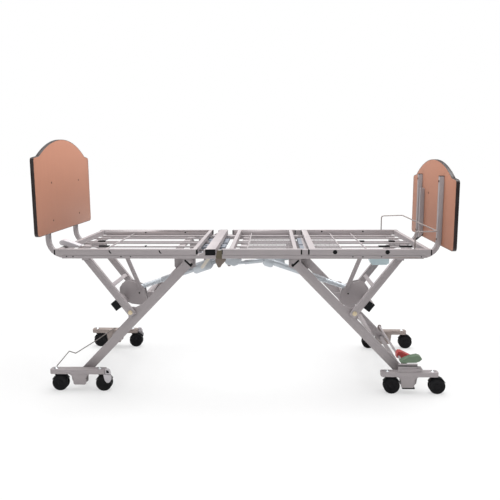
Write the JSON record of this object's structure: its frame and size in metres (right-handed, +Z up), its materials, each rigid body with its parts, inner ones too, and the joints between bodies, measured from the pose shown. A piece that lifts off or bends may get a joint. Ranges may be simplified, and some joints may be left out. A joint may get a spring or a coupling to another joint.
{
  "type": "electric hospital bed",
  "caption": "Homecare style adjustable bed: sectioned open-grille deck on a steel frame, folding scissor legs on caster bases, and arched laminate end boards.",
  "frame": {"origin": "on the floor under the middle of the bed, at the centre of its plan", "axes": "+X toward the foot end, +Y across to the far side, +Z up"},
  "size_m": [2.2776, 0.921, 1.42],
  "materials": {
    "frame_paint": "satin powder coat",
    "laminate": "cherry laminate",
    "black_plastic": "matte",
    "wheel_tyre": "matte",
    "zinc": "zinc-look casting and tube",
    "pedal": "matte"
  },
  "bodies": {
    "frame": {"rail_near": "frame_paint", "rail_far": "frame_paint", "cross_drive": "frame_paint", "cross_head": "frame_paint", "cross_foot": "frame_paint", "cross_leg_head": "frame_paint", "cross_leg_foot": "frame_paint", "seat_bar": "frame_paint", "headboard": "laminate", "footboard": "laminate", "headboard_post_near": "frame_paint", "headboard_post_far": "frame_paint", "footboard_post_near": "frame_paint", "footboard_post_far": "frame_paint"},
    "backrest": {"head_section": "frame_paint"},
    "thigh": {"thigh_section": "frame_paint"},
    "foot": {"foot_section": "frame_paint", "mattress_retainer": "frame_paint"},
    "back_drive": {"back_drive": "zinc"},
    "back_rod": {"back_rod": "zinc"},
    "thigh_drive": {"thigh_drive": "zinc"},
    "thigh_rod": {"thigh_rod": "zinc"},
    "arm_foot": {"lift_arm_foot": "frame_paint"},
    "leg_foot": {"leg_foot_near": "frame_paint", "leg_foot_far": "frame_paint", "leg_cross_foot": "frame_paint"},
    "base_foot": {"base_foot_near": "frame_paint", "base_foot_far": "frame_paint", "base_axle_foot": "frame_paint"},
    "rod_foot": {"lift_rod_foot": "zinc"},
    "drive_foot": {"lift_drive_foot": "zinc"},
    "link_foot": {"lift_link_foot": "frame_paint"},
    "swivel_foot_near_inner": {"caster_foot_near_inner": "black_plastic"},
    "wheel_foot_near_inner": {"wheel_foot_near_inner": "wheel_tyre"},
    "swivel_foot_near_outer": {"caster_foot_near_outer": "black_plastic"},
    "wheel_foot_near_outer": {"wheel_foot_near_outer": "wheel_tyre"},
    "swivel_foot_far_inner": {"caster_foot_far_inner": "black_plastic"},
    "wheel_foot_far_inner": {"wheel_foot_far_inner": "wheel_tyre"},
    "swivel_foot_far_outer": {"caster_foot_far_outer": "black_plastic"},
    "wheel_foot_far_outer": {"wheel_foot_far_outer": "wheel_tyre"},
    "arm_head": {"lift_arm_head": "frame_paint"},
    "leg_head": {"leg_head_near": "frame_paint", "leg_head_far": "frame_paint", "leg_cross_head": "frame_paint"},
    "base_head": {"base_head_near": "frame_paint", "base_head_far": "frame_paint", "base_axle_head": "frame_paint", "base_wire_head": "frame_paint"},
    "rod_head": {"lift_rod_head": "zinc"},
    "drive_head": {"lift_drive_head": "zinc"},
    "link_head": {"lift_link_head": "frame_paint"},
    "swivel_head_near_inner": {"caster_head_near_inner": "black_plastic"},
    "wheel_head_near_inner": {"wheel_head_near_inner": "wheel_tyre"},
    "swivel_head_near_outer": {"caster_head_near_outer": "black_plastic"},
    "wheel_head_near_outer": {"wheel_head_near_outer": "wheel_tyre"},
    "swivel_head_far_inner": {"caster_head_far_inner": "black_plastic"},
    "wheel_head_far_inner": {"wheel_head_far_inner": "wheel_tyre"},
    "swivel_head_far_outer": {"caster_head_far_outer": "black_plastic"},
    "wheel_head_far_outer": {"wheel_head_far_outer": "wheel_tyre"},
    "pedals": {"brake_pedals": "pedal"}
  },
  "joints": [
    {"name": "backrest_tilt", "type": "hinge", "parent": "frame", "child": "backrest", "pos_m": [-0.23765, 0, 0.7875], "axis": [0, 1, 0], "range_deg": [0, 60]},
    {"name": "thigh_lift", "type": "hinge", "parent": "frame", "child": "thigh", "pos_m": [-0.10265, 0, 0.7875], "axis": [0, -1, 0], "range_deg": [0, 30]},
    {"name": "knee_bend", "type": "hinge", "parent": "thigh", "child": "foot", "pos_m": [0.34485, 0, 0.7875], "axis": [0, -1, 0], "range_deg": [-50, 0]},
    {"name": "back_drive_pivot", "type": "hinge", "parent": "frame", "child": "back_drive", "pos_m": [0.03385, 0.06, 0.7], "axis": [0, 1, 0], "range_deg": [0, 11]},
    {"name": "back_drive_stroke", "type": "slide", "parent": "back_drive", "child": "back_rod", "axis": [-0.9951, 0, -0.0992], "range_m": [0, 0.102]},
    {"name": "thigh_drive_pivot", "type": "hinge", "parent": "frame", "child": "thigh_drive", "pos_m": [0.30085, -0.06, 0.712], "axis": [0, 1, 0], "range_deg": [0, 2.5]},
    {"name": "thigh_drive_stroke", "type": "slide", "parent": "thigh_drive", "child": "thigh_rod", "axis": [-0.9948, 0, -0.1015], "range_m": [-0.059, 0]},
    {"name": "lift_foot", "type": "hinge", "parent": "frame", "child": "arm_foot", "pos_m": [0.86295, 0, 0.765], "axis": [0, 1, 0], "range_deg": [0, 34]},
    {"name": "leg_foot_pivot", "type": "hinge", "parent": "arm_foot", "child": "leg_foot", "pos_m": [0.62435, 0, 0.452], "axis": [0, 1, 0], "range_deg": [-63, 0]},
    {"name": "base_foot_pivot", "type": "hinge", "parent": "leg_foot", "child": "base_foot", "pos_m": [0.90535, 0, 0.098], "axis": [0, 1, 0], "range_deg": [0, 29]},
    {"name": "rod_foot_pivot", "type": "hinge", "parent": "arm_foot", "child": "rod_foot", "pos_m": [0.59885, -0.2, 0.56], "axis": [0, 1, 0], "range_deg": [-54, 0]},
    {"name": "drive_foot_stroke", "type": "slide", "parent": "rod_foot", "child": "drive_foot", "axis": [0.946, 0, -0.3241], "range_m": [0, 0.0905]},
    {"name": "link_foot_pivot", "type": "hinge", "parent": "arm_foot", "child": "link_foot", "pos_m": [0.59885, -0.225, 0.56], "axis": [0, 1, 0], "range_deg": [0, 27.2]},
    {"name": "swivel_foot_near_inner_turn", "type": "hinge", "parent": "base_foot", "child": "swivel_foot_near_inner", "pos_m": [0.80985, -0.3945, 0.1], "axis": [0, 0, 1], "continuous": true},
    {"name": "wheel_foot_near_inner_spin", "type": "hinge", "parent": "swivel_foot_near_inner", "child": "wheel_foot_near_inner", "pos_m": [0.83435, -0.3945, 0.045], "axis": [0, 1, 0], "continuous": true},
    {"name": "swivel_foot_near_outer_turn", "type": "hinge", "parent": "base_foot", "child": "swivel_foot_near_outer", "pos_m": [1.06085, -0.3945, 0.1], "axis": [0, 0, 1], "continuous": true},
    {"name": "wheel_foot_near_outer_spin", "type": "hinge", "parent": "swivel_foot_near_outer", "child": "wheel_foot_near_outer", "pos_m": [1.08535, -0.3945, 0.045], "axis": [0, 1, 0], "continuous": true},
    {"name": "swivel_foot_far_inner_turn", "type": "hinge", "parent": "base_foot", "child": "swivel_foot_far_inner", "pos_m": [0.80985, 0.3945, 0.1], "axis": [0, 0, 1], "continuous": true},
    {"name": "wheel_foot_far_inner_spin", "type": "hinge", "parent": "swivel_foot_far_inner", "child": "wheel_foot_far_inner", "pos_m": [0.83435, 0.3945, 0.045], "axis": [0, 1, 0], "continuous": true},
    {"name": "swivel_foot_far_outer_turn", "type": "hinge", "parent": "base_foot", "child": "swivel_foot_far_outer", "pos_m": [1.06085, 0.3945, 0.1], "axis": [0, 0, 1], "continuous": true},
    {"name": "wheel_foot_far_outer_spin", "type": "hinge", "parent": "swivel_foot_far_outer", "child": "wheel_foot_far_outer", "pos_m": [1.08535, 0.3945, 0.045], "axis": [0, 1, 0], "continuous": true},
    {"name": "lift_head", "type": "hinge", "parent": "frame", "child": "arm_head", "pos_m": [-0.86525, 0, 0.765], "axis": [0, -1, 0], "range_deg": [0, 34]},
    {"name": "leg_head_pivot", "type": "hinge", "parent": "arm_head", "child": "leg_head", "pos_m": [-0.62665, 0, 0.452], "axis": [0, -1, 0], "range_deg": [-63, 0]},
    {"name": "base_head_pivot", "type": "hinge", "parent": "leg_head", "child": "base_head", "pos_m": [-0.90765, 0, 0.098], "axis": [0, -1, 0], "range_deg": [0, 29]},
    {"name": "rod_head_pivot", "type": "hinge", "parent": "arm_head", "child": "rod_head", "pos_m": [-0.60115, -0.2, 0.56], "axis": [0, -1, 0], "range_deg": [-54, 0]},
    {"name": "drive_head_stroke", "type": "slide", "parent": "rod_head", "child": "drive_head", "axis": [-0.946, 0, -0.3241], "range_m": [0, 0.0905]},
    {"name": "link_head_pivot", "type": "hinge", "parent": "arm_head", "child": "link_head", "pos_m": [-0.60115, -0.225, 0.56], "axis": [0, -1, 0], "range_deg": [0, 27.2]},
    {"name": "swivel_head_near_inner_turn", "type": "hinge", "parent": "base_head", "child": "swivel_head_near_inner", "pos_m": [-0.81215, -0.3945, 0.1], "axis": [0, 0, 1], "continuous": true},
    {"name": "wheel_head_near_inner_spin", "type": "hinge", "parent": "swivel_head_near_inner", "child": "wheel_head_near_inner", "pos_m": [-0.78765, -0.3945, 0.045], "axis": [0, 1, 0], "continuous": true},
    {"name": "swivel_head_near_outer_turn", "type": "hinge", "parent": "base_head", "child": "swivel_head_near_outer", "pos_m": [-1.06315, -0.3945, 0.1], "axis": [0, 0, 1], "continuous": true},
    {"name": "wheel_head_near_outer_spin", "type": "hinge", "parent": "swivel_head_near_outer", "child": "wheel_head_near_outer", "pos_m": [-1.03865, -0.3945, 0.045], "axis": [0, 1, 0], "continuous": true},
    {"name": "swivel_head_far_inner_turn", "type": "hinge", "parent": "base_head", "child": "swivel_head_far_inner", "pos_m": [-0.81215, 0.3945, 0.1], "axis": [0, 0, 1], "continuous": true},
    {"name": "wheel_head_far_inner_spin", "type": "hinge", "parent": "swivel_head_far_inner", "child": "wheel_head_far_inner", "pos_m": [-0.78765, 0.3945, 0.045], "axis": [0, 1, 0], "continuous": true},
    {"name": "swivel_head_far_outer_turn", "type": "hinge", "parent": "base_head", "child": "swivel_head_far_outer", "pos_m": [-1.06315, 0.3945, 0.1], "axis": [0, 0, 1], "continuous": true},
    {"name": "wheel_head_far_outer_spin", "type": "hinge", "parent": "swivel_head_far_outer", "child": "wheel_head_far_outer", "pos_m": [-1.03865, 0.3945, 0.045], "axis": [0, 1, 0], "continuous": true},
    {"name": "brake_pedal", "type": "hinge", "parent": "base_foot", "child": "pedals", "pos_m": [0.90385, 0, 0.16], "axis": [0, 1, 0], "range_deg": [-15, 11]}
  ],
  "couplings": [
    {"joint": "knee_bend", "follows": "thigh_lift", "ratio": -1.65},
    {"joint": "back_drive_pivot", "follows": "backrest_tilt", "ratio": 0.17708},
    {"joint": "back_drive_stroke", "follows": "backrest_tilt", "m_per_rad": 0.09638},
    {"joint": "thigh_drive_pivot", "follows": "thigh_lift", "ratio": 0.07054},
    {"joint": "thigh_drive_stroke", "follows": "thigh_lift", "m_per_rad": -0.11164},
    {"joint": "leg_foot_pivot", "follows": "lift_foot", "ratio": -1.8371},
    {"joint": "base_foot_pivot", "follows": "lift_foot", "ratio": 0.83708},
    {"joint": "rod_foot_pivot", "follows": "lift_foot", "ratio": -1.5652},
    {"joint": "drive_foot_stroke", "follows": "lift_foot", "m_per_rad": 0.15163},
    {"joint": "link_foot_pivot", "follows": "lift_foot", "ratio": 0.78947},
    {"joint": "leg_head_pivot", "follows": "lift_head", "ratio": -1.8371},
    {"joint": "base_head_pivot", "follows": "lift_head", "ratio": 0.83708},
    {"joint": "rod_head_pivot", "follows": "lift_head", "ratio": -1.5652},
    {"joint": "drive_head_stroke", "follows": "lift_head", "m_per_rad": 0.15163},
    {"joint": "link_head_pivot", "follows": "lift_head", "ratio": 0.78947}
  ]
}
